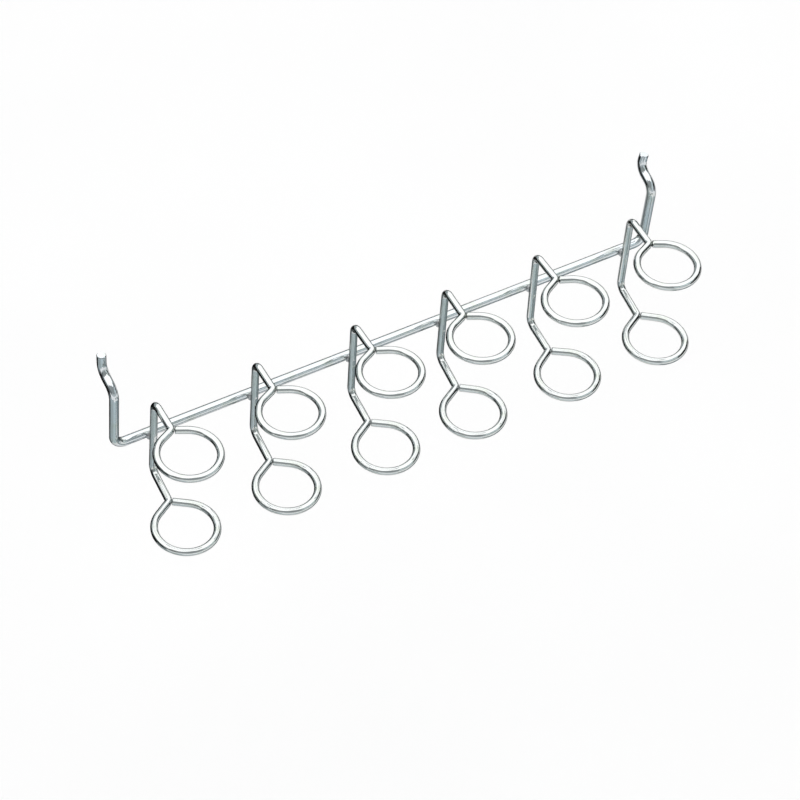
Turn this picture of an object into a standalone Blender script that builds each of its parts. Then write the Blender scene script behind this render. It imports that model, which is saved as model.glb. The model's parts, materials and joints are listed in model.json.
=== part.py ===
"""Peg hook rack: six double-ring tool holders welded to one hanger rod that hooks into a pegboard.

Metres, +Z up. +X runs along the rod to the right of a person who faces the board, and +Y goes into
the board. The origin lies on the board's front face, midway between the two peg holes of the hooks.
"""

import math

import bmesh
import bpy
from mathutils import Matrix, Vector

MM = 0.001
UP = Vector((0.0, 0.0, 1.0))

# Pegboard that the hooks are bent for
HOLE_PITCH = 25.4 * MM
HOLES_SPANNED = 12
BOARD_THICKNESS = 6.4 * MM
BOARD_SLACK = 0.6 * MM

# Hanger rod: one wire with both ends bent up into cranked hooks
ROD_DIAMETER = 4.76 * MM
ROD_CORNER_INSIDE_RADIUS = 3.6 * MM
LEG_HEIGHT = 39.0 * MM
CRANK_RISE = 5.2 * MM
CRANK_INSIDE_RADIUS = 5.0 * MM
LEFT_TIP_LENGTH = 10.2 * MM
RIGHT_TIP_LENGTH = 7.6 * MM

# How far to the right of its peg hole each hook has its tip, the back end of its crank and its foot
LEFT_HOOK_STRAY = (-0.6 * MM, -0.3 * MM, 0.0 * MM)
RIGHT_HOOK_STRAY = (1.2 * MM, -0.2 * MM, -1.6 * MM)

# Double-ring wire: upper ring, upright and lower ring, bent from one length
WIRE_DIAMETER = 3.76 * MM
RING_INSIDE_DIAMETER = 26.6 * MM
UPPER_SHANK_HEIGHT = 25.1 * MM
LOWER_SHANK_DEPTH = 22.4 * MM
UPPER_SHANK_LENGTH = 19.2 * MM
LOWER_SHANK_LENGTH = 20.3 * MM
UPPER_NECK_STEP = 1.7 * MM
LOWER_NECK_STEP = 2.9 * MM
UPPER_BEND_INSIDE_RADIUS = 2.4 * MM
LOWER_BEND_INSIDE_RADIUS = 3.2 * MM
NECK_INSIDE_RADIUS = 1.0 * MM
FREE_END_GAP = 0.3 * MM

# Directions out from the board, in degrees: yaw turns to the right, tilt rises
UPPER_SHANK_YAW = -3.0
UPPER_SHANK_TILT = 0.0
UPPER_RING_YAW = 0.0
UPPER_RING_TILT = 0.0
LOWER_SHANK_YAW = -5.0
LOWER_SHANK_TILT = -6.0
LOWER_RING_YAW = -2.0
LOWER_RING_TILT = -2.0

# Places along the rod: even stations between two margins, then how each holder strayed when it was
# welded: its drift, and in degrees its twist, its roll to the right and the lean of its upper ring
LEFT_MARGIN = 20.0 * MM
RIGHT_MARGIN = 15.5 * MM
WELD_DRIFT = (-1.2 * MM, 0.4 * MM, 1.6 * MM, -0.5 * MM, -1.2 * MM, 0.4 * MM)
WELD_TWIST = (0.0, -0.5, 0.1, -1.4, 1.4, -1.1)
WELD_ROLL = (0.5, -0.2, -0.8, -0.1, -0.9, 0.9)
UPPER_LEAN = (-1.6, 0.4, 1.7, 0.0, 0.3, -0.4)

# Weld nugget squeezed out between the rod and an upright
WELD_SPREAD = 5.2 * MM
WELD_DEPTH = 3.0 * MM
WELD_THROAT = 0.26 * MM
WELD_CLEARANCE = 0.12 * MM

# Facets: a curve's bevel has 4 + 2 * resolution sides
ROD_RESOLUTION = 4
WIRE_RESOLUTION = 4
BEND_STEP = math.radians(15.0)
RING_STEP = math.radians(12.0)
WELD_SEGMENTS = 16
WELD_BANDS = 10
CUTTER_SIDES = 24
WELD_SHARP_ANGLE = math.radians(40.0)

# Zinc plate, bright on the wires and dull on the welds
ROD_COLOUR = (0.56, 0.59, 0.62)
WIRE_COLOUR = (0.62, 0.64, 0.65)
WELD_COLOUR = (0.40, 0.41, 0.42)
PLATE_ROUGHNESS = 0.22
WELD_ROUGHNESS = 0.45

# Sizes worked out from those above
HOOK_SPAN = HOLE_PITCH * HOLES_SPANNED
ROD_RADIUS = ROD_DIAMETER / 2
WIRE_RADIUS = WIRE_DIAMETER / 2
RING_RADIUS = RING_INSIDE_DIAMETER / 2 + WIRE_RADIUS
CRANK_OFFSET = BOARD_THICKNESS + BOARD_SLACK + ROD_DIAMETER
ROD_Y = -ROD_RADIUS
ROD_Z = -LEG_HEIGHT
WELD_GAP = WELD_THROAT + 2 * WELD_CLEARANCE
UPRIGHT_OFFSET = ROD_RADIUS + WELD_GAP + WIRE_RADIUS
STATION_PITCH = (HOOK_SPAN - LEFT_MARGIN - RIGHT_MARGIN) / (len(WELD_DRIFT) - 1)


def clear_scene():
    for obj in list(bpy.data.objects):
        bpy.data.objects.remove(obj, do_unlink=True)


def zinc(name, colour, roughness):
    material = bpy.data.materials.new(name)
    material.use_nodes = True
    material.diffuse_color = (*colour, 1.0)
    shader = material.node_tree.nodes["Principled BSDF"]
    shader.inputs["Base Color"].default_value = (*colour, 1.0)
    shader.inputs["Roughness"].default_value = roughness
    shader.inputs["Metallic"].default_value = 1.0
    return material


def place(name, data, location, parent, roll=0.0, twist=0.0):
    obj = bpy.data.objects.new(name, data)
    obj.location = location
    obj.rotation_euler = (0.0, math.radians(roll), math.radians(twist))
    obj.parent = parent
    bpy.context.collection.objects.link(obj)
    return obj


def heading(yaw, tilt):
    """Unit vector out from the board, turned to the right by yaw and raised by tilt, in degrees."""
    level = math.cos(math.radians(tilt))
    turn = math.radians(yaw)
    return Vector((math.sin(turn) * level, -math.cos(turn) * level, math.sin(math.radians(tilt))))


def bend(before, corner, after, radius):
    """Points of the arc that rounds the corner between two straight runs."""
    inward = (before - corner).normalized()
    outward = (after - corner).normalized()
    turn = math.pi - inward.angle(outward)
    centre = corner + (inward + outward).normalized() * radius / math.cos(turn / 2)
    spoke = corner + inward * radius * math.tan(turn / 2) - centre
    axis = outward.cross(inward).normalized()
    steps = math.ceil(turn / BEND_STEP)
    return [centre + Matrix.Rotation(turn * k / steps, 3, axis) @ spoke for k in range(steps + 1)]


def bent_path(corners):
    """Path through (point, bend radius) pairs; a pair with no radius is a plain point of the path."""
    path = []
    for k, (point, radius) in enumerate(corners):
        if radius:
            path += bend(corners[k - 1][0], point, corners[k + 1][0], radius)
        else:
            path.append(point)
    return path


def wire(name, path, diameter, resolution, material):
    """Round wire along a path, with both ends cut square."""
    curve = bpy.data.curves.new(name, "CURVE")
    curve.dimensions = "3D"
    curve.bevel_depth = diameter / 2
    curve.bevel_resolution = resolution
    curve.use_fill_caps = True
    spline = curve.splines.new("POLY")
    spline.points.add(len(path) - 1)
    for point, where in zip(spline.points, path):
        point.co = (*where, 1.0)
    curve.materials.append(material)
    return curve


def hook(side, tip_length, stray):
    """Corners of one cranked hook from its tip down to the rod; side is -1 on the left, 1 on the right."""
    x = side * HOOK_SPAN / 2
    tip_x, back_x, foot_x = (x + shift for shift in stray)
    crank_radius = CRANK_INSIDE_RADIUS + ROD_RADIUS
    crank_top = LEG_HEIGHT + CRANK_RISE / 2
    return [
        (Vector((tip_x, CRANK_OFFSET, crank_top + tip_length)), 0.0),
        (Vector((back_x, CRANK_OFFSET, crank_top)), crank_radius),
        (Vector((x, 0.0, LEG_HEIGHT - CRANK_RISE / 2)), crank_radius),
        (Vector((foot_x, 0.0, 0.0)), ROD_CORNER_INSIDE_RADIUS + ROD_RADIUS),
    ]


def ring(neck, axis, neck_step):
    """Teardrop ring: round the left, the front and the right of its circle, then back to the cut free end.

    The wire leaves the neck in a straight run that touches the circle. The far side comes back along
    the mirrored run and is cut where its end face clears the shank and the first run by FREE_END_GAP.
    An even number of steps puts a point at the very front of the circle.
    """
    right = UP.cross(axis).normalized()
    reach = RING_RADIUS + neck_step
    kink = math.asin(RING_RADIUS / reach)
    sweep = math.pi + 2 * kink
    steps = 2 * math.ceil(sweep / 2 / RING_STEP)
    centre = neck + axis * reach
    points = []
    for k in range(steps + 1):
        angle = sweep * (k / steps - 0.5)
        points.append(centre + RING_RADIUS * (right * math.sin(angle) + axis * math.cos(angle)))
    clear = WIRE_RADIUS + FREE_END_GAP
    clear_of_shank = (clear - WIRE_RADIUS * math.cos(kink)) / math.sin(kink)
    clear_of_run = (clear + WIRE_RADIUS * math.cos(2 * kink)) / math.sin(2 * kink)
    cut = max(clear_of_shank, clear_of_run)
    points.append(neck + cut * (right * math.sin(kink) + axis * math.cos(kink)))
    return points


def double_ring_path(lean):
    """Centre line from the upper ring's free end to the lower ring's, with the rod's height as z = 0.

    The upper shank and ring rise by lean, in degrees, on top of their common tilt.
    """
    top = UP * UPPER_SHANK_HEIGHT
    foot = -UP * LOWER_SHANK_DEPTH
    upper_neck = top + heading(UPPER_SHANK_YAW, UPPER_SHANK_TILT + lean) * UPPER_SHANK_LENGTH
    lower_neck = foot + heading(LOWER_SHANK_YAW, LOWER_SHANK_TILT) * LOWER_SHANK_LENGTH
    upper_ring = ring(upper_neck, heading(UPPER_RING_YAW, UPPER_RING_TILT + lean), UPPER_NECK_STEP)
    lower_ring = ring(lower_neck, heading(LOWER_RING_YAW, LOWER_RING_TILT), LOWER_NECK_STEP)
    spine = [
        (upper_neck, NECK_INSIDE_RADIUS + WIRE_RADIUS),
        (top, UPPER_BEND_INSIDE_RADIUS + WIRE_RADIUS),
        (foot, LOWER_BEND_INSIDE_RADIUS + WIRE_RADIUS),
        (lower_neck, NECK_INSIDE_RADIUS + WIRE_RADIUS),
    ]
    before = [(point, 0.0) for point in reversed(upper_ring)]
    after = [(point, 0.0) for point in lower_ring]
    return bent_path(before + spine + after)


def cylinder(name, radius, length, turn):
    """Helper that cuts and isn't part of the rack."""
    mesh = bpy.data.meshes.new(name)
    form = bmesh.new()
    bmesh.ops.create_cone(
        form, cap_ends=True, segments=CUTTER_SIDES, radius1=radius, radius2=radius, depth=length, matrix=turn
    )
    form.to_mesh(mesh)
    form.free()
    cutter = bpy.data.objects.new(name, mesh)
    cutter.hide_render = True
    cutter.display_type = "WIRE"
    bpy.context.collection.objects.link(cutter)
    return cutter


def weld_nugget(material):
    """Flattened bead hollowed by the rod behind it and the upright in front, about the gap's middle."""
    blank = bpy.data.meshes.new("weld_blank")
    form = bmesh.new()
    bmesh.ops.create_uvsphere(form, u_segments=WELD_SEGMENTS, v_segments=WELD_BANDS, radius=WELD_SPREAD / 2)
    bmesh.ops.scale(form, vec=(1.0, WELD_DEPTH / WELD_SPREAD, 1.0), verts=form.verts)
    form.to_mesh(blank)
    form.free()
    bead = bpy.data.objects.new("weld_blank", blank)
    bpy.context.collection.objects.link(bead)
    along_rod = Matrix.Rotation(math.pi / 2, 4, "Y")
    rod_cutter = cylinder("rod_cutter", ROD_RADIUS + WELD_CLEARANCE, 2 * WELD_SPREAD, along_rod)
    rod_cutter.location.y = ROD_RADIUS + WELD_GAP / 2
    upright_cutter = cylinder("upright_cutter", WIRE_RADIUS + WELD_CLEARANCE, 2 * WELD_SPREAD, Matrix())
    upright_cutter.location.y = -(WIRE_RADIUS + WELD_GAP / 2)
    for cutter in (rod_cutter, upright_cutter):
        cut = bead.modifiers.new(cutter.name, "BOOLEAN")
        cut.operation = "DIFFERENCE"
        cut.solver = "EXACT"
        cut.object = cutter
    graph = bpy.context.evaluated_depsgraph_get()
    nugget = bpy.data.meshes.new_from_object(bead.evaluated_get(graph))
    nugget.name = "weld_nugget"
    nugget.materials.clear()
    nugget.materials.append(material)
    nugget.shade_smooth()
    nugget.set_sharp_from_angle(angle=WELD_SHARP_ANGLE)
    for helper in (bead, rod_cutter, upright_cutter):
        bpy.data.objects.remove(helper, do_unlink=True)
    return nugget


def build():
    clear_scene()
    rack = place("rack", None, (0.0, 0.0, 0.0), None)
    rod_zinc = zinc("rod_zinc", ROD_COLOUR, PLATE_ROUGHNESS)
    wire_zinc = zinc("ring_wire_zinc", WIRE_COLOUR, PLATE_ROUGHNESS)
    weld_zinc = zinc("weld_zinc", WELD_COLOUR, WELD_ROUGHNESS)

    left_hook = hook(-1, LEFT_TIP_LENGTH, LEFT_HOOK_STRAY)
    right_hook = hook(1, RIGHT_TIP_LENGTH, RIGHT_HOOK_STRAY)
    rod_path = bent_path(left_hook + right_hook[::-1])
    rod = wire("hanger_rod", rod_path, ROD_DIAMETER, ROD_RESOLUTION, rod_zinc)
    place("hanger_rod", rod, (0.0, ROD_Y, ROD_Z), rack)

    nugget = weld_nugget(weld_zinc)
    weld_y = ROD_Y - ROD_RADIUS - WELD_GAP / 2
    strays = zip(WELD_DRIFT, WELD_TWIST, WELD_ROLL, UPPER_LEAN)
    for k, (drift, twist, roll, lean) in enumerate(strays):
        x = LEFT_MARGIN - HOOK_SPAN / 2 + k * STATION_PITCH + drift
        holder = wire("ring_holder", double_ring_path(lean), WIRE_DIAMETER, WIRE_RESOLUTION, wire_zinc)
        place(f"ring_holder_{k + 1}", holder, (x, ROD_Y - UPRIGHT_OFFSET, ROD_Z), rack, roll, twist)
        place(f"weld_{k + 1}", nugget, (x, weld_y, ROD_Z), rack)


build()
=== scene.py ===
"""Looks of the peg hook rack: bright zinc wires, their welds and a studio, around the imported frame.

Laid out as an add-on and run as a script. Metres, +Z up, in the frame of the solids: +X runs along the rod and
+Y goes into the pegboard.
"""

import json
import math

import bpy
from mathutils import Matrix, Vector


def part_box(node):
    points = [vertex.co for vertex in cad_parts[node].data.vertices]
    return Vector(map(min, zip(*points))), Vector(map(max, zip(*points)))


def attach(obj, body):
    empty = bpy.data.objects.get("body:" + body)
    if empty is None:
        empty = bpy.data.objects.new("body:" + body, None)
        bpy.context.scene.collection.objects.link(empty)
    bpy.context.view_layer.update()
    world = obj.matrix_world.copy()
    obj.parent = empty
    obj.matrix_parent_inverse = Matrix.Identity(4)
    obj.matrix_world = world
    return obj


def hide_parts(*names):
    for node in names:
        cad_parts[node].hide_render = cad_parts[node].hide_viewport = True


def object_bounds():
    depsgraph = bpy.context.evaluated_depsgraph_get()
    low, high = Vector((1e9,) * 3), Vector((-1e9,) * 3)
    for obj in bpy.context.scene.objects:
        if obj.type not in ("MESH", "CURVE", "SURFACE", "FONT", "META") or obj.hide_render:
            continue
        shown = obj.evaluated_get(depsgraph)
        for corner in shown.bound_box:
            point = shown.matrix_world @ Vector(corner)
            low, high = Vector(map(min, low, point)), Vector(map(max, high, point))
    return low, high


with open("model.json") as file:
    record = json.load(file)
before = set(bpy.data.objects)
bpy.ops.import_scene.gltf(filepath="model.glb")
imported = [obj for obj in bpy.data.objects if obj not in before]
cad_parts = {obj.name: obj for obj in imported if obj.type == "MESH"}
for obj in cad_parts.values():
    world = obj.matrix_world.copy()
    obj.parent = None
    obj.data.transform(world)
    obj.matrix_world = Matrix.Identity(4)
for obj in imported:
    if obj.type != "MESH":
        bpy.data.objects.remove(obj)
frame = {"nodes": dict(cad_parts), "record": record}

bl_info = {
    "name": "Peg hook rack",
    "version": (1, 0, 0),
    "blender": (4, 5, 0),
    "location": "3D View > Sidebar > Peg Rack",
    "description": "Zinc-plated wires, weld beads and studio of a peg hook rack",
    "category": "Object",
}

MM = 0.001
UP = Vector((0.0, 0.0, 1.0))
BODY = "root"

# Places that the frame gives
CAD_LOW, CAD_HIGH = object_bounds()
ROD_LOW, ROD_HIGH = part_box("hanger_rod")
HOOKS = frame["record"]["mounts"][0]["dims"]
HOLDERS = sorted(int(name.rsplit("_", 1)[1]) for name in frame["nodes"] if name.startswith("ring_holder_"))

# Round panels of light in the studio's walls and ceiling: azimuth, elevation, radius and half the width of the soft
# edge in degrees, and light. A dim one is a gap in the light, and each one covers those before it.
PANELS = (
    (-27.3, 86.9, 31.9, 2.2, 0.15),
    (-44.0, 71.2, 39.0, 1.2, 1.55),
    (-87.0, 36.0, 13.0, 3.0, 1.34),
    (-121.7, 43.9, 11.4, 2.5, 0.39),
    (46.9, 39.0, 34.9, 2.3, 1.45),
    (108.8, 65.5, 24.5, 1.3, 1.48),
)

# Studio cards that the wires mirror: name, azimuth, elevation, half width and half height in degrees, and colour
CARD_DISTANCE = 0.5
CARDS = (
    ("left_card", -47.5, -18.9, 50.4, 22.8, (0.012, 0.012, 0.012)),
    ("low_left_card", -44.0, -46.0, 24.0, 9.0, (0.226, 0.251, 0.256)),
    ("right_card", 107.0, 9.0, 23.0, 15.0, (0.03, 0.03, 0.03)),
    ("corner_card", -97.0, -36.0, 33.0, 17.0, (0.434, 0.490, 0.510)),
    ("front_card", 140.0, 28.0, 29.0, 15.0, (0.80, 0.90, 0.92)),
    ("front_strip", 148.0, 36.5, 24.0, 3.0, (0.33, 0.37, 0.38)),
    ("back_card", -13.5, 16.2, 40.3, 9.8, (0.559, 0.621, 0.633)),
    ("left_strip", -91.0, 11.5, 28.5, 9.5, (0.16, 0.178, 0.181)),
    ("back_right_strip", 48.0, -11.0, 14.0, 10.0, (0.387, 0.431, 0.439)),
    ("low_right_card", 128.0, -50.0, 49.0, 10.0, (0.302, 0.361, 0.380)),
    ("low_side_card", 105.0, -35.0, 27.0, 6.5, (0.625, 0.706, 0.732)),
    ("low_front_card", -142.0, -45.0, 34.0, 13.0, (0.510, 0.592, 0.616)),
)

# Fineness of the paths and meshes
BEND_STEP = math.radians(6.0)
RING_STEP = math.radians(3.0)
SHARP_EDGE = math.radians(30.0)
ROD_SIDES = 40
RING_SIDES = 32
SECTION_SPACING = 0.4 * MM
BEAD_SUBDIVISIONS = 5

# Shares of the electrode's height, from its middle, at which its flat has run out and is at full depth
FLAT_END, FLAT_FULL = 0.5, 0.35

# Scales of the noise that grains a surface, per metre, and that of the lumps, per bead
WANDER_SCALE = 130.0
DIE_LINE_SCALE = (2600.0, 2600.0, 90.0)
STAIN_SCALE = 210.0
BURN_SCALE = 900.0
PIT_SCALE = 2600.0
MOTTLE_SCALE = 6.0
LUMP_SCALE = 3.2

# The lumps' noise keeps within about a quarter of its middle, and the gain makes a whole lump of that
LUMP_GAIN = 4.0

# Spans of the noise over which a die line, a stain, a burnt patch and the paper's mottle come in
DIE_LINE_SPAN = (0.3, 0.8)
STAIN_SPAN = (0.45, 0.75)
BURN_SPAN = (0.35, 0.65)
MOTTLE_SPAN = (0.3, 0.7)

# Roughness, relief and shade that the grain and the cut give the plate, and those of the paper
DIE_LINE_ROUGHNESS = (-0.03, 0.06)
DIE_LINE_BUMP, DIE_LINE_DEPTH = 0.05, 0.02 * MM
CUT_FACE_DEPTH, CUT_FACE_ROUGHNESS = 0.02 * MM, 0.04
BURNT_SHARE = 0.55
PIT_ROUGHNESS = 0.3
PIT_BUMP, PIT_DEPTH = 0.35, 0.1 * MM
MOTTLE_SHARE = 0.99
PAPER_ROUGHNESS, PAPER_GLOSS = 0.95, 0.1

# Depths of the studio, from the front wall at 0 to the back wall at 1, between which the front turns into the back
FRONT_ENDS, BACK_STARTS = 0.15, 0.85


def length(name, description, millimetres):
    """Setting for a length."""
    return bpy.props.FloatProperty(
        name=name, description=description, default=millimetres * MM, subtype="DISTANCE", unit="LENGTH", precision=5
    )


def lengths(name, description, millimetres):
    """Setting for several lengths."""
    return bpy.props.FloatVectorProperty(
        name=name,
        description=description,
        default=[value * MM for value in millimetres],
        size=len(millimetres),
        unit="LENGTH",
        precision=5,
    )


def angle(name, description, degrees):
    """Setting for an angle."""
    return bpy.props.FloatProperty(
        name=name, description=description, default=math.radians(degrees), subtype="ANGLE", unit="ROTATION"
    )


def angles(name, description, degrees):
    """Setting for several angles."""
    return bpy.props.FloatVectorProperty(
        name=name,
        description=description,
        default=[math.radians(value) for value in degrees],
        size=len(degrees),
        unit="ROTATION",
    )


def colour(name, description, rgb):
    """Setting for a colour."""
    return bpy.props.FloatVectorProperty(
        name=name, description=description, default=rgb, subtype="COLOR", size=3, min=0.0, max=1.0
    )


def share(name, description, value):
    """Setting for a value from 0 to 1."""
    return bpy.props.FloatProperty(
        name=name, description=description, default=value, subtype="FACTOR", min=0.0, max=1.0
    )


class RackRodSettings(bpy.types.PropertyGroup):
    """Sizes of the hanger rod."""

    diameter: length("Rod diameter", "Thickness of the hanger rod", 2 * HOOKS["stud_r_mm"])
    span: length("Hook span", "Distance between the centre lines of the two hooks", HOOKS["spacing_x_mm"])
    corner_inside: length("Corner radius", "Inside radius where the rod turns up into a leg", 3.6)
    crank_inside: length("Crank radius", "Inside radius of the two bends of a hook's crank", 5.0)
    crank_rise: length("Crank rise", "How far the crank climbs on its way through the board", 5.2)
    left_tip: length("Left tip", "Length of the left hook above its crank", 10.2)
    right_tip: length("Right tip", "Length of the right hook above its crank", 7.6)
    left_stray: lengths(
        "Left hook stray", "How far to the right its tip, crank end and foot stand", (-0.6, -0.3, 0.0)
    )
    right_stray: lengths(
        "Right hook stray", "How far to the right its tip, crank end and foot stand", (1.2, -0.2, -1.6)
    )
    chamfer: length("End chamfer", "Edge that the shear rolled over at each end", 0.32)


class RackRingSettings(bpy.types.PropertyGroup):
    """Sizes of one double-ring wire."""

    diameter: length("Wire diameter", "Thickness of the ring wire", 3.76)
    ring_inside: length("Ring inside", "Inside diameter of both rings", 26.6)
    weld_gap: length("Weld gap", "Gap between the rod and the upright that the weld fills", 0.5)
    upper_height: length("Upper shank height", "Height of the upper shank over the rod", 25.1)
    lower_depth: length("Lower shank depth", "Depth of the lower shank under the rod", 22.4)
    upper_length: length("Upper shank length", "Length of the upper shank from the upright to the neck", 19.2)
    lower_length: length("Lower shank length", "Length of the lower shank from the upright to the neck", 20.3)
    upper_step: length("Upper neck step", "How far the upper ring's circle stands off its neck", 1.7)
    lower_step: length("Lower neck step", "How far the lower ring's circle stands off its neck", 2.9)
    upper_bend: length("Upper bend radius", "Inside radius from the upright into the upper shank", 2.4)
    lower_bend: length("Lower bend radius", "Inside radius from the upright into the lower shank", 3.2)
    neck_bend: length("Neck radius", "Inside radius of the kink at both necks", 1.0)
    end_gap: length("Free end gap", "Gap that the cut end of a ring keeps to its neck", 0.3)
    chamfer: length("End chamfer", "Edge that the shear rolled over at each end", 0.26)
    upper_shank_yaw: angle("Upper shank yaw", "Turn of the upper shank to the right", -3.0)
    lower_shank_yaw: angle("Lower shank yaw", "Turn of the lower shank to the right", -5.0)
    lower_shank_tilt: angle("Lower shank tilt", "Rise of the lower shank", -6.0)
    lower_ring_yaw: angle("Lower ring yaw", "Turn of the lower ring to the right", -2.0)
    lower_ring_tilt: angle("Lower ring tilt", "Rise of the lower ring", -2.0)
    twist: angles("Weld twist", "Turn of each holder about its upright", (0.0, -0.5, 0.1, -1.4, 1.4, -1.1))
    roll: angles("Weld roll", "Lean of each holder to the right", (0.5, -0.2, -0.8, -0.1, -0.9, 0.9))
    lean: angles("Upper lean", "Rise of each holder's upper ring", (-1.6, 0.4, 1.7, 0.0, 0.3, -0.4))
    flat_depth: length("Electrode flat", "Depth of the flat that the electrode pressed into the upright", 0.16)
    flat_height: length("Electrode height", "Height of that flat", 5.0)


class RackWeldSettings(bpy.types.PropertyGroup):
    """Sizes of one weld bead."""

    spread: length("Bead spread", "Width and height of the bead", 5.2)
    depth: length("Bead depth", "Depth of the bead between the two wires", 3.0)
    lumps: length("Bead lumps", "How far the bead's surface rises and falls", 0.22)


class RackFinishSettings(bpy.types.PropertyGroup):
    """Colours and gloss of the zinc plate."""

    rod_colour: colour("Rod zinc", "Bright zinc of the hanger rod", (0.704, 0.742, 0.766))
    ring_colour: colour("Ring zinc", "Bright zinc of the ring wires", (0.702, 0.725, 0.723))
    weld_colour: colour("Weld zinc", "Dull zinc over the welds", (0.598, 0.610, 0.622))
    stain_colour: colour(
        "Stain", "Faint yellow-green tint that passivation leaves in the zinc", (0.652, 0.687, 0.639)
    )
    plate_roughness: share("Plate roughness", "Roughness of the bright plate", 0.06)
    rod_edge: share("Rod edge", "How much the rod's plate mirrors at a grazing angle", 0.02)
    ring_edge: share("Ring edge", "How much the ring wires' plate mirrors at a grazing angle", 0.01)
    weld_roughness: share("Weld roughness", "Roughness of the dull plate over a weld", 0.38)
    waviness: length("Waviness", "How far the drawn wire's surface wanders", 0.012)


class RackStageSettings(bpy.types.PropertyGroup):
    """Camera and studio."""

    azimuth: angle("Camera azimuth", "Turn of the camera to the right of straight ahead", -34.267)
    elevation: angle("Camera elevation", "Height of the camera over the horizon", 46.828)
    roll: angle("Camera roll", "Turn of the camera about its own axis", 4.84)
    distance: length("Camera distance", "Distance from the camera to the point it looks at", 1821.4)
    aim: bpy.props.FloatVectorProperty(
        name="Camera aim",
        description="Point that the camera looks at",
        default=(-4.76 * MM, -24.50 * MM, -59.88 * MM),
        size=3,
        subtype="TRANSLATION",
        unit="LENGTH",
    )
    lens: bpy.props.FloatProperty(
        name="Focal length", description="Focal length on a 36 mm sensor", default=165.79, unit="CAMERA"
    )
    floor_half: length("Floor half width", "Half the width of the floor", 12000.0)
    floor_drop: length("Floor drop", "How far the floor lies under the rack", 400.0)
    floor_colour: colour("Floor", "Colour of the floor", (0.965, 0.957, 0.955))
    front_wall: colour("Front wall", "Light from the wall behind the camera", (0.321, 0.345, 0.349))
    back_wall: colour("Back wall", "Light from the wall behind the rack", (0.359, 0.385, 0.392))
    front_skirting: colour("Front skirting", "Light from the foot of the front wall", (0.551, 0.592, 0.601))
    back_skirting: colour("Back skirting", "Light from the foot of the back wall", (0.067, 0.072, 0.073))
    skirting_top: angle("Skirting top", "Elevation where the foot of the walls starts to fade", 8.7)
    skirting_fade: angle("Skirting fade", "Elevation over which it fades into the wall", 7.4)


def heading(yaw, tilt):
    """Unit vector out from the board, turned to the right by yaw and raised by tilt."""
    return Vector((math.sin(yaw) * math.cos(tilt), -math.cos(yaw) * math.cos(tilt), math.sin(tilt)))


def bend(before, corner, after, radius):
    """Points of the arc that rounds the corner between two straight runs."""
    inward = (before - corner).normalized()
    outward = (after - corner).normalized()
    turn = math.pi - inward.angle(outward)
    centre = corner + (inward + outward).normalized() * radius / math.cos(turn / 2)
    spoke = corner + inward * radius * math.tan(turn / 2) - centre
    axis = outward.cross(inward).normalized()
    steps = math.ceil(turn / BEND_STEP)
    return [centre + Matrix.Rotation(turn * k / steps, 3, axis) @ spoke for k in range(steps + 1)]


def bent_path(corners):
    """Path through (point, bend radius) pairs; a pair with no radius is a plain point of the path."""
    path = []
    for k, (point, radius) in enumerate(corners):
        if radius:
            path += bend(corners[k - 1][0], point, corners[k + 1][0], radius)
        else:
            path.append(point)
    return path


def rod_axis(rod):
    """Middle of the rod's straight run."""
    return Vector((0.0, ROD_LOW.y + rod.diameter / 2, ROD_LOW.z + rod.diameter / 2))


def rod_path(rod):
    """Centre line of the hanger rod from the left tip to the right one, from the middle of its straight run."""
    radius = rod.diameter / 2
    back = ROD_HIGH.y - radius - rod_axis(rod).y
    leg = -rod_axis(rod).z
    crank = rod.crank_inside + radius
    corner = rod.corner_inside + radius

    def hook(x, tip, stray):
        return [
            (Vector((x + stray[0], back, tip)), 0.0),
            (Vector((x + stray[1], back, leg + rod.crank_rise / 2)), crank),
            (Vector((x, 0.0, leg - rod.crank_rise / 2)), crank),
            (Vector((x + stray[2], 0.0, 0.0)), corner),
        ]

    left = hook(-rod.span / 2, leg + rod.crank_rise / 2 + rod.left_tip, rod.left_stray)
    right = hook(rod.span / 2, leg + rod.crank_rise / 2 + rod.right_tip, rod.right_stray)
    return bent_path(left + right[::-1])


def ring(sizes, neck, axis, neck_step):
    """Teardrop ring: round the left, the front and the right of its circle, then back to the cut free end."""
    right = UP.cross(axis).normalized()
    wire_radius = sizes.diameter / 2
    radius = sizes.ring_inside / 2 + wire_radius
    reach = radius + neck_step
    kink = math.asin(radius / reach)
    sweep = math.pi + 2 * kink
    steps = 2 * math.ceil(sweep / 2 / RING_STEP)
    centre = neck + axis * reach
    points = []
    for k in range(steps + 1):
        turn = sweep * (k / steps - 0.5)
        points.append(centre + radius * (right * math.sin(turn) + axis * math.cos(turn)))
    clear = wire_radius + sizes.end_gap
    clear_of_shank = (clear - wire_radius * math.cos(kink)) / math.sin(kink)
    clear_of_run = (clear + wire_radius * math.cos(2 * kink)) / math.sin(2 * kink)
    cut = max(clear_of_shank, clear_of_run)
    points.append(neck + cut * (right * math.sin(kink) + axis * math.cos(kink)))
    return points


def double_ring_path(sizes, lean):
    """Centre line from the upper ring's free end to the lower ring's, with the weld at the origin's height."""
    wire_radius = sizes.diameter / 2
    top = UP * sizes.upper_height
    foot = -UP * sizes.lower_depth
    upper_neck = top + heading(sizes.upper_shank_yaw, lean) * sizes.upper_length
    lower_neck = foot + heading(sizes.lower_shank_yaw, sizes.lower_shank_tilt) * sizes.lower_length
    upper_ring = ring(sizes, upper_neck, heading(0.0, lean), sizes.upper_step)
    lower_ring = ring(sizes, lower_neck, heading(sizes.lower_ring_yaw, sizes.lower_ring_tilt), sizes.lower_step)
    spine = [
        (upper_neck, sizes.neck_bend + wire_radius),
        (top, sizes.upper_bend + wire_radius),
        (foot, sizes.lower_bend + wire_radius),
        (lower_neck, sizes.neck_bend + wire_radius),
    ]
    before = [(point, 0.0) for point in reversed(upper_ring)]
    after = [(point, 0.0) for point in lower_ring]
    return bent_path(before + spine + after)


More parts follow.
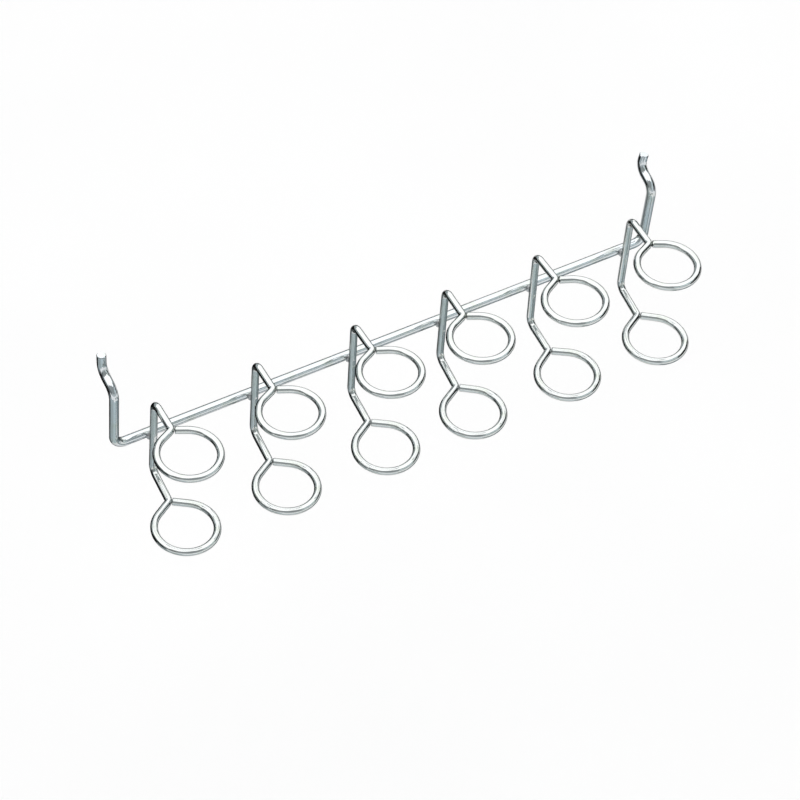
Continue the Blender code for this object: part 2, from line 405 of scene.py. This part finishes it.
def station(number):
    """Middle of a holder's weld, on the rod's height."""
    low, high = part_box(f"weld_{number}")
    return (low + high) / 2


class Graph:
    """Adds nodes to a tree: a keyword sets a property, and add's inputs take a value or another node's socket."""

    def __init__(self, tree):
        self.tree = tree

    def add(self, kind, inputs=None, **properties):
        """New node with its properties and inputs set."""
        node = self.tree.nodes.new(kind)
        for key, value in properties.items():
            setattr(node, key, value)
        for key, value in (inputs or {}).items():
            if isinstance(value, bpy.types.NodeSocket):
                self.tree.links.new(value, node.inputs[key])
            else:
                node.inputs[key].default_value = value
        return node

    def math(self, operation, *values):
        """Result of an operation on numbers."""
        node = self.add("ShaderNodeMath", dict(enumerate(values)), operation=operation)
        return node.outputs[0]

    def vector_math(self, operation, *values):
        """Result of an operation on vectors."""
        node = self.add("ShaderNodeVectorMath", dict(enumerate(values)), operation=operation)
        return node.outputs["Value" if operation == "DOT_PRODUCT" else "Vector"]

    def ramp(self, value, first, last):
        """Colour ramp between two (position, colour) stops."""
        node = self.add("ShaderNodeValToRGB", {"Fac": value})
        for element, (position, tone) in zip(node.color_ramp.elements, (first, last)):
            element.position = position
            element.color = (*tone, 1.0)
        return node.outputs["Color"]

    def mix(self, factor, first, second):
        """Mix of two colours."""
        node = self.add("ShaderNodeMix", data_type="RGBA")
        for name, value in (("Factor_Float", factor), ("A_Color", first), ("B_Color", second)):
            socket = next(item for item in node.inputs if item.identifier == name)
            if isinstance(value, bpy.types.NodeSocket):
                self.tree.links.new(value, socket)
            else:
                socket.default_value = value
        return next(item for item in node.outputs if item.identifier == "Result_Color")


def geometry_tree(name, sizes):
    """Empty geometry tree with a Geometry input and the named inputs; sizes are (name, socket type) pairs."""
    tree = bpy.data.node_groups.new(name, "GeometryNodeTree")
    tree.interface.new_socket("Geometry", in_out="INPUT", socket_type="NodeSocketGeometry")
    for label, kind in sizes:
        tree.interface.new_socket(label, in_out="INPUT", socket_type=kind)
    tree.interface.new_socket("Geometry", in_out="OUTPUT", socket_type="NodeSocketGeometry")
    graph = Graph(tree)
    return graph, graph.add("NodeGroupInput").outputs


def close_tree(graph, geometry, material):
    """Ends a geometry tree with the realized, painted geometry."""
    realized = graph.add("GeometryNodeRealizeInstances", {"Geometry": geometry})
    painted = graph.add("GeometryNodeSetMaterial", {"Geometry": realized.outputs[0], "Material": material})
    graph.add("NodeGroupOutput", {"Geometry": painted.outputs[0]})
    return graph.tree


def smooth_but_sharp(graph, geometry, limit):
    """Smooth faces, with the edges that turn more than limit left sharp."""
    smooth = graph.add("GeometryNodeSetShadeSmooth", {"Geometry": geometry}, domain="FACE")
    turn = graph.add("GeometryNodeInputMeshEdgeAngle").outputs["Unsigned Angle"]
    sharp = graph.math("GREATER_THAN", turn, limit)
    edges = {"Geometry": smooth.outputs[0], "Selection": sharp, "Shade Smooth": False}
    return graph.add("GeometryNodeSetShadeSmooth", edges, domain="EDGE").outputs[0]


def swept_wire_tree():
    """Round wire along a path, with rolled cut ends, a drawn wire's slight waviness and an electrode's flat.

    It leaves two attributes for the material: wire holds the place on the straightened wire, and from_end the
    distance to the nearer cut end.
    """
    graph, given = geometry_tree(
        "Swept wire",
        (
            ("Diameter", "NodeSocketFloat"),
            ("Sides", "NodeSocketInt"),
            ("Ring Spacing", "NodeSocketFloat"),
            ("End Chamfer", "NodeSocketFloat"),
            ("Waviness", "NodeSocketFloat"),
            ("Flat Depth", "NodeSocketFloat"),
            ("Flat Height", "NodeSocketFloat"),
            ("Turn", "NodeSocketVector"),
            ("Place", "NodeSocketVector"),
            ("Material", "NodeSocketMaterial"),
        ),
    )
    radius = graph.math("MULTIPLY", given["Diameter"], 0.5)
    fine = graph.add(
        "GeometryNodeResampleCurve", {"Curve": given["Geometry"], "Length": given["Ring Spacing"]}, mode="LENGTH"
    )

    along = graph.add("GeometryNodeSplineParameter").outputs["Length"]
    whole = graph.add("GeometryNodeSplineLength").outputs["Length"]
    from_end = graph.math("MINIMUM", along, graph.math("SUBTRACT", whole, along))
    path = graph.add("GeometryNodeCaptureAttribute", {"Geometry": fine.outputs[0]}, domain="POINT")
    for label, value in (("Along", along), ("From End", from_end)):
        path.capture_items.new("FLOAT", label)
        graph.tree.links.new(value, path.inputs[label])

    circle = graph.add("GeometryNodeCurvePrimitiveCircle", {"Resolution": given["Sides"], "Radius": radius})
    profile = graph.add("GeometryNodeCaptureAttribute", {"Geometry": circle.outputs[0]}, domain="POINT")
    profile.capture_items.new("VECTOR", "Around")
    graph.tree.links.new(graph.add("GeometryNodeInputPosition").outputs[0], profile.inputs["Around"])

    reached = graph.math("DIVIDE", from_end, given["End Chamfer"])
    rolled = graph.math("SUBTRACT", 1.0, graph.math("MINIMUM", reached, 1.0))
    narrowing = graph.math("MULTIPLY", rolled, graph.math("DIVIDE", given["End Chamfer"], radius))
    swept = graph.add(
        "GeometryNodeCurveToMesh",
        {
            "Curve": path.outputs["Geometry"],
            "Profile Curve": profile.outputs["Geometry"],
            "Scale": graph.math("SUBTRACT", 1.0, narrowing),
            "Fill Caps": True,
        },
    )

    around = graph.add("ShaderNodeSeparateXYZ", {0: profile.outputs["Around"]}).outputs
    straight = graph.add("ShaderNodeCombineXYZ", {"X": around["X"], "Y": around["Y"], "Z": path.outputs["Along"]})
    marked = graph.add(
        "GeometryNodeStoreNamedAttribute",
        {"Geometry": swept.outputs[0], "Name": "wire", "Value": straight.outputs[0]},
        data_type="FLOAT_VECTOR",
        domain="POINT",
    )
    ended = graph.add(
        "GeometryNodeStoreNamedAttribute",
        {"Geometry": marked.outputs[0], "Name": "from_end", "Value": path.outputs["From End"]},
        data_type="FLOAT",
        domain="POINT",
    )

    wander = graph.add("ShaderNodeTexNoise", {"Vector": straight.outputs[0], "Scale": WANDER_SCALE, "Detail": 1.0})
    sunk = graph.math("SUBTRACT", wander.outputs["Fac"], 1.0)
    lift = graph.math("MULTIPLY", sunk, given["Waviness"])
    normal = graph.add("GeometryNodeInputNormal").outputs[0]
    scaled = graph.add("ShaderNodeVectorMath", {0: normal, "Scale": lift}, operation="SCALE")
    wavy = graph.add("GeometryNodeSetPosition", {"Geometry": ended.outputs[0], "Offset": scaled.outputs[0]})

    place = graph.add("ShaderNodeSeparateXYZ", {0: graph.add("GeometryNodeInputPosition").outputs[0]}).outputs
    front = graph.math("SUBTRACT", given["Flat Depth"], radius)
    pushed = graph.math("MAXIMUM", graph.math("SUBTRACT", front, place["Y"]), 0.0)
    height = graph.math("DIVIDE", graph.math("ABSOLUTE", place["Z"]), given["Flat Height"])
    inside = graph.add(
        "ShaderNodeMapRange",
        {"Value": height, "From Min": FLAT_END, "From Max": FLAT_FULL},
        interpolation_type="SMOOTHSTEP",
    )
    on_upright = graph.math("LESS_THAN", graph.math("ABSOLUTE", place["Y"]), given["Diameter"])
    push = graph.math("MULTIPLY", pushed, graph.math("MULTIPLY", inside.outputs[0], on_upright))
    offset = graph.add("ShaderNodeCombineXYZ", {"Y": push})
    pressed = graph.add("GeometryNodeSetPosition", {"Geometry": wavy.outputs[0], "Offset": offset.outputs[0]})

    shaded = smooth_but_sharp(graph, pressed.outputs[0], SHARP_EDGE)
    placed = graph.add(
        "GeometryNodeTransform", {"Geometry": shaded, "Translation": given["Place"], "Rotation": given["Turn"]}
    )
    return close_tree(graph, placed.outputs[0], given["Material"])


def weld_bead_tree():
    """Flattened bead squeezed out between two crossing wires, with a lumpy skin."""
    graph, given = geometry_tree(
        "Weld bead",
        (
            ("Spread", "NodeSocketFloat"),
            ("Depth", "NodeSocketFloat"),
            ("Lumps", "NodeSocketFloat"),
            ("Seed", "NodeSocketFloat"),
            ("Place", "NodeSocketVector"),
            ("Material", "NodeSocketMaterial"),
        ),
    )
    ball = graph.add("GeometryNodeMeshIcoSphere", {"Radius": 0.5, "Subdivisions": BEAD_SUBDIVISIONS})
    position = graph.add("GeometryNodeInputPosition").outputs[0]
    seed = graph.add("ShaderNodeCombineXYZ", {"X": given["Seed"], "Y": given["Seed"]})
    lumps = graph.add(
        "ShaderNodeTexNoise",
        {"Vector": graph.vector_math("ADD", position, seed.outputs[0]), "Scale": LUMP_SCALE, "Detail": 3.0},
    )
    centred = graph.math("SUBTRACT", lumps.outputs["Fac"], 0.5)
    lift = graph.math("MULTIPLY", centred, graph.math("DIVIDE", given["Lumps"], given["Spread"]))
    grown = graph.math("ADD", 1.0, graph.math("MULTIPLY", lift, LUMP_GAIN))
    rough = graph.add("ShaderNodeVectorMath", {0: position, "Scale": grown}, operation="SCALE")
    form = graph.add("ShaderNodeCombineXYZ", {"X": given["Spread"], "Y": given["Depth"], "Z": given["Spread"]})
    sized = graph.vector_math("MULTIPLY", rough.outputs[0], form.outputs[0])
    placed = graph.vector_math("ADD", sized, given["Place"])
    bead = graph.add("GeometryNodeSetPosition", {"Geometry": ball.outputs["Mesh"], "Position": placed})
    smooth = graph.add("GeometryNodeSetShadeSmooth", {"Geometry": bead.outputs[0]}, domain="FACE")
    return close_tree(graph, smooth.outputs[0], given["Material"])


def piece_from(name, data, tree, values):
    """Runs a geometry tree on an object's data and returns the result as a plain mesh object at the origin."""
    helper = bpy.data.objects.new(name + "_path", data)
    bpy.context.scene.collection.objects.link(helper)
    modifier = helper.modifiers.new("Form", "NODES")
    modifier.node_group = tree
    for item in tree.interface.items_tree:
        if item.in_out == "INPUT" and item.name in values:
            modifier[item.identifier] = values[item.name]
    graph = bpy.context.evaluated_depsgraph_get()
    mesh = bpy.data.meshes.new_from_object(helper.evaluated_get(graph), depsgraph=graph)
    mesh.name = name
    helper.modifiers.remove(modifier)
    bpy.data.objects.remove(helper, do_unlink=True)
    piece = bpy.data.objects.new(name, mesh)
    bpy.context.scene.collection.objects.link(piece)
    return piece


def path_curve(name, path):
    """Curve of straight runs through the points of a path."""
    curve = bpy.data.curves.new(name, "CURVE")
    curve.dimensions = "3D"
    spline = curve.splines.new("POLY")
    spline.points.add(len(path) - 1)
    for point, where in zip(spline.points, path):
        point.co = (*where, 1.0)
    return curve


def seat(piece, node):
    """The piece stands for a solid of the frame and moves with it."""
    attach(piece, BODY)
    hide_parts(node)


def new_material(name):
    """Material with its graph and its shader."""
    material = bpy.data.materials.new(name)
    material.use_nodes = True
    graph = Graph(material.node_tree)
    return material, graph, material.node_tree.nodes["Principled BSDF"]


def bright_zinc(name, plate, edge, finish):
    """Bright plate over drawn wire: die lines along it, faint stains and a slightly duller cut face at each end."""
    material, graph, shader = new_material(name)
    shader.inputs["Metallic"].default_value = 1.0
    shader.inputs["Specular Tint"].default_value = (edge, edge, edge, 1.0)
    wire = graph.add("ShaderNodeAttribute", attribute_name="wire").outputs["Vector"]
    from_end = graph.add("ShaderNodeAttribute", attribute_name="from_end").outputs["Fac"]

    drawn = graph.vector_math("MULTIPLY", wire, DIE_LINE_SCALE)
    lines = graph.add("ShaderNodeTexNoise", {"Vector": drawn, "Scale": 1.0, "Detail": 3.0}).outputs["Fac"]
    clouds = graph.add("ShaderNodeTexNoise", {"Vector": wire, "Scale": STAIN_SCALE, "Detail": 4.0}).outputs["Fac"]
    stained = graph.add(
        "ShaderNodeMapRange", {"Value": clouds, "From Min": STAIN_SPAN[0], "From Max": STAIN_SPAN[1]}
    ).outputs[0]
    tint = graph.mix(stained, (*plate, 1.0), (*finish.stain_colour, 1.0))
    graph.tree.links.new(tint, shader.inputs["Base Color"])

    lined = graph.add(
        "ShaderNodeMapRange",
        {
            "Value": lines,
            "From Min": DIE_LINE_SPAN[0],
            "From Max": DIE_LINE_SPAN[1],
            "To Min": DIE_LINE_ROUGHNESS[0],
            "To Max": DIE_LINE_ROUGHNESS[1],
        },
    ).outputs[0]
    cut = graph.math("LESS_THAN", from_end, CUT_FACE_DEPTH)
    dulled = graph.math("MULTIPLY", cut, CUT_FACE_ROUGHNESS)
    total = graph.math("ADD", graph.math("ADD", finish.plate_roughness, lined), dulled)
    graph.tree.links.new(total, shader.inputs["Roughness"])

    relief = graph.add("ShaderNodeBump", {"Height": lines, "Strength": DIE_LINE_BUMP, "Distance": DIE_LINE_DEPTH})
    graph.tree.links.new(relief.outputs[0], shader.inputs["Normal"])
    return material


def dull_zinc(name, plate, roughness):
    """Plate over a weld: dull, with burnt patches and a pitted skin."""
    material, graph, shader = new_material(name)
    shader.inputs["Metallic"].default_value = 1.0
    where = graph.add("ShaderNodeTexCoord").outputs["Object"]
    patches = graph.add("ShaderNodeTexNoise", {"Vector": where, "Scale": BURN_SCALE, "Detail": 3.0}).outputs["Fac"]
    burnt = tuple(BURNT_SHARE * part for part in plate)
    tint = graph.ramp(patches, (BURN_SPAN[0], burnt), (BURN_SPAN[1], plate))
    graph.tree.links.new(tint, shader.inputs["Base Color"])
    pits = graph.add("ShaderNodeTexNoise", {"Vector": where, "Scale": PIT_SCALE, "Detail": 2.0}).outputs["Fac"]
    pitted = graph.math("MULTIPLY", graph.math("SUBTRACT", pits, 0.5), PIT_ROUGHNESS)
    varied = graph.math("ADD", roughness, pitted)
    graph.tree.links.new(varied, shader.inputs["Roughness"])
    relief = graph.add("ShaderNodeBump", {"Height": pits, "Strength": PIT_BUMP, "Distance": PIT_DEPTH})
    graph.tree.links.new(relief.outputs[0], shader.inputs["Normal"])
    return material


class RACK_OT_hanger_rod(bpy.types.Operator):
    """Sweep the hanger rod with its two cranked peg hooks"""

    bl_idname = "rack.hanger_rod"
    bl_label = "Hanger Rod"

    def execute(self, context):
        rod = context.scene.rack_rod
        finish = context.scene.rack_finish
        zinc = bright_zinc("rod_zinc_plate", finish.rod_colour, finish.rod_edge, finish)
        values = {
            "Diameter": rod.diameter,
            "Sides": ROD_SIDES,
            "Ring Spacing": SECTION_SPACING,
            "End Chamfer": rod.chamfer,
            "Waviness": finish.waviness,
            "Flat Depth": 0.0,
            "Flat Height": 1.0,
            "Turn": (0.0, 0.0, 0.0),
            "Place": rod_axis(rod),
            "Material": zinc,
        }
        piece = piece_from("hanger_rod_wire", path_curve("rod_path", rod_path(rod)), swept_wire_tree(), values)
        seat(piece, "hanger_rod")
        return {"FINISHED"}


class RACK_OT_ring_holders(bpy.types.Operator):
    """Sweep each double-ring wire and set it at its weld"""

    bl_idname = "rack.ring_holders"
    bl_label = "Ring Holders"

    def execute(self, context):
        rod = context.scene.rack_rod
        sizes = context.scene.rack_ring
        finish = context.scene.rack_finish
        zinc = bright_zinc("ring_zinc_plate", finish.ring_colour, finish.ring_edge, finish)
        tree = swept_wire_tree()
        upright_y = ROD_LOW.y - sizes.weld_gap - sizes.diameter / 2
        rod_z = rod_axis(rod).z
        for number, twist, roll, lean in zip(HOLDERS, sizes.twist, sizes.roll, sizes.lean):
            values = {
                "Diameter": sizes.diameter,
                "Sides": RING_SIDES,
                "Ring Spacing": SECTION_SPACING,
                "End Chamfer": sizes.chamfer,
                "Waviness": finish.waviness,
                "Flat Depth": sizes.flat_depth,
                "Flat Height": sizes.flat_height,
                "Turn": (0.0, roll, twist),
                "Place": (station(number).x, upright_y, rod_z),
                "Material": zinc,
            }
            path = path_curve("ring_path", double_ring_path(sizes, lean))
            piece = piece_from(f"ring_wire_{number}", path, tree, values)
            seat(piece, f"ring_holder_{number}")
        return {"FINISHED"}


class RACK_OT_weld_beads(bpy.types.Operator):
    """Put a weld bead between the rod and each upright"""

    bl_idname = "rack.weld_beads"
    bl_label = "Weld Beads"

    def execute(self, context):
        weld = context.scene.rack_weld
        finish = context.scene.rack_finish
        gap = context.scene.rack_ring.weld_gap
        zinc = dull_zinc("weld_zinc_plate", finish.weld_colour, finish.weld_roughness)
        tree = weld_bead_tree()
        for number in HOLDERS:
            middle = station(number)
            values = {
                "Spread": weld.spread,
                "Depth": weld.depth,
                "Lumps": weld.lumps,
                "Seed": float(number),
                "Place": (middle.x, ROD_LOW.y - gap / 2, middle.z),
                "Material": zinc,
            }
            piece = piece_from(f"weld_bead_{number}", bpy.data.meshes.new("bead"), tree, values)
            seat(piece, f"weld_{number}")
        return {"FINISHED"}


def facing(azimuth, elevation):
    """Unit vector from the rack, with azimuth counted from straight into the board towards the right."""
    level = math.cos(elevation)
    return Vector((math.sin(azimuth) * level, math.cos(azimuth) * level, math.sin(elevation)))


def studio_world(stage):
    """Panels of light over grey walls, whose foot is pale in front and dark at the back."""
    world = bpy.data.worlds.new("studio")
    world.use_nodes = True
    graph = Graph(world.node_tree)
    direction = graph.add("ShaderNodeTexCoord").outputs["Generated"]
    part = graph.add("ShaderNodeSeparateXYZ", {0: direction}).outputs
    depth = graph.math("MULTIPLY_ADD", part["Y"], 0.5, 0.5)
    foot = graph.ramp(depth, (FRONT_ENDS, stage.front_skirting), (BACK_STARTS, stage.back_skirting))
    wall = graph.ramp(depth, (FRONT_ENDS, stage.front_wall), (BACK_STARTS, stage.back_wall))
    raised = graph.add(
        "ShaderNodeMapRange",
        {
            "Value": part["Z"],
            "From Min": math.sin(stage.skirting_top),
            "From Max": math.sin(stage.skirting_top + stage.skirting_fade),
        },
        interpolation_type="SMOOTHSTEP",
    ).outputs[0]
    studio = graph.mix(raised, foot, wall)
    for azimuth, elevation, radius, edge, light in PANELS:
        middle = facing(math.radians(azimuth), math.radians(elevation))
        lit = graph.add(
            "ShaderNodeMapRange",
            {
                "Value": graph.vector_math("DOT_PRODUCT", direction, middle),
                "From Min": math.cos(math.radians(radius + edge)),
                "From Max": math.cos(math.radians(radius - edge)),
            },
            interpolation_type="SMOOTHSTEP",
        ).outputs[0]
        studio = graph.mix(lit, studio, (light, light, light, 1.0))
    graph.tree.links.new(studio, world.node_tree.nodes["Background"].inputs["Color"])
    return world


def matt(name, tone):
    """Paper of the stage, with a faint mottle."""
    material, graph, shader = new_material(name)
    where = graph.add("ShaderNodeTexCoord").outputs["Object"]
    mottle = graph.add("ShaderNodeTexNoise", {"Vector": where, "Scale": MOTTLE_SCALE, "Detail": 2.0}).outputs["Fac"]
    darker = tuple(MOTTLE_SHARE * part for part in tone)
    tint = graph.ramp(mottle, (MOTTLE_SPAN[0], darker), (MOTTLE_SPAN[1], tone))
    graph.tree.links.new(tint, shader.inputs["Base Color"])
    shader.inputs["Roughness"].default_value = PAPER_ROUGHNESS
    shader.inputs["Specular IOR Level"].default_value = PAPER_GLOSS
    return material


def sheet(name, corners, material):
    """Flat sheet of the stage."""
    mesh = bpy.data.meshes.new(name)
    mesh.from_pydata(corners, [], [(0, 1, 2, 3)])
    mesh.materials.append(material)
    piece = bpy.data.objects.new(name, mesh)
    bpy.context.scene.collection.objects.link(piece)
    return piece


def studio_card(name, azimuth, elevation, half_width, half_height, tone):
    """Card beside the picture that the bright wires mirror; it shades nothing, and no camera sees it."""
    out = facing(math.radians(azimuth), math.radians(elevation))
    side = Vector((out.y, -out.x, 0.0)).normalized() * CARD_DISTANCE * math.tan(math.radians(half_width))
    over = side.cross(out).normalized() * CARD_DISTANCE * math.tan(math.radians(half_height))
    middle = (CAD_LOW + CAD_HIGH) / 2 + out * CARD_DISTANCE
    corners = [middle - side - over, middle + side - over, middle + side + over, middle - side + over]
    card = sheet(name, corners, matt(name, tone))
    card.visible_camera = False
    card.visible_diffuse = False
    card.visible_shadow = False


class RACK_OT_stage(bpy.types.Operator):
    """Make the floor, the studio light and the camera"""

    bl_idname = "rack.stage"
    bl_label = "Stage"

    def execute(self, context):
        stage = context.scene.rack_stage
        scene = context.scene
        scene.view_settings.view_transform = "Standard"
        scene.world = studio_world(stage)

        half = stage.floor_half
        low = CAD_LOW.z - stage.floor_drop
        corners = [(-half, -half, low), (half, -half, low), (half, half, low), (-half, half, low)]
        sheet("floor", corners, matt("pale_floor", stage.floor_colour))
        for card in CARDS:
            studio_card(*card)

        turn, rise, roll = stage.azimuth, stage.elevation, stage.roll
        back = heading(turn, rise)
        level = Vector((math.cos(turn), math.sin(turn), 0.0))
        upward = back.cross(level)
        right = level * math.cos(roll) + upward * math.sin(roll)
        above = upward * math.cos(roll) - level * math.sin(roll)
        lens = bpy.data.cameras.new("camera")
        lens.lens = stage.lens
        camera = bpy.data.objects.new("camera", lens)
        place = Matrix((right, above, back)).transposed().to_4x4()
        place.translation = Vector(stage.aim) + back * stage.distance
        camera.matrix_world = place
        scene.collection.objects.link(camera)
        scene.camera = camera
        return {"FINISHED"}


class RACK_PT_panel(bpy.types.Panel):
    """Lists the rack's pieces with their sizes, the finish and the stage"""

    bl_idname = "RACK_PT_panel"
    bl_label = "Peg Rack"
    bl_space_type = "VIEW_3D"
    bl_region_type = "UI"
    bl_category = "Peg Rack"

    def draw(self, context):
        for settings in SETTINGS:
            box = self.layout.box()
            if settings in MAKERS:
                box.operator(MAKERS[settings].bl_idname)
            group = getattr(context.scene, settings)
            for key in group.__annotations__:
                box.prop(group, key)


SETTINGS = {
    "rack_rod": RackRodSettings,
    "rack_ring": RackRingSettings,
    "rack_weld": RackWeldSettings,
    "rack_finish": RackFinishSettings,
    "rack_stage": RackStageSettings,
}
MAKERS = {
    "rack_rod": RACK_OT_hanger_rod,
    "rack_ring": RACK_OT_ring_holders,
    "rack_weld": RACK_OT_weld_beads,
    "rack_stage": RACK_OT_stage,
}


def register():
    """Adds the settings, the operators and the panel."""
    for name, group in SETTINGS.items():
        bpy.utils.register_class(group)
        setattr(bpy.types.Scene, name, bpy.props.PointerProperty(type=group))
    for item in (*MAKERS.values(), RACK_PT_panel):
        bpy.utils.register_class(item)


def unregister():
    """Takes them out again."""
    for item in (RACK_PT_panel, *reversed(MAKERS.values())):
        bpy.utils.unregister_class(item)
    for name, group in reversed(SETTINGS.items()):
        delattr(bpy.types.Scene, name)
        bpy.utils.unregister_class(group)


def main():
    """Makes the stage and the pieces."""
    register()
    bpy.ops.rack.stage()
    bpy.ops.rack.hanger_rod()
    bpy.ops.rack.ring_holders()
    bpy.ops.rack.weld_beads()


if __name__ == "__main__":
    main()
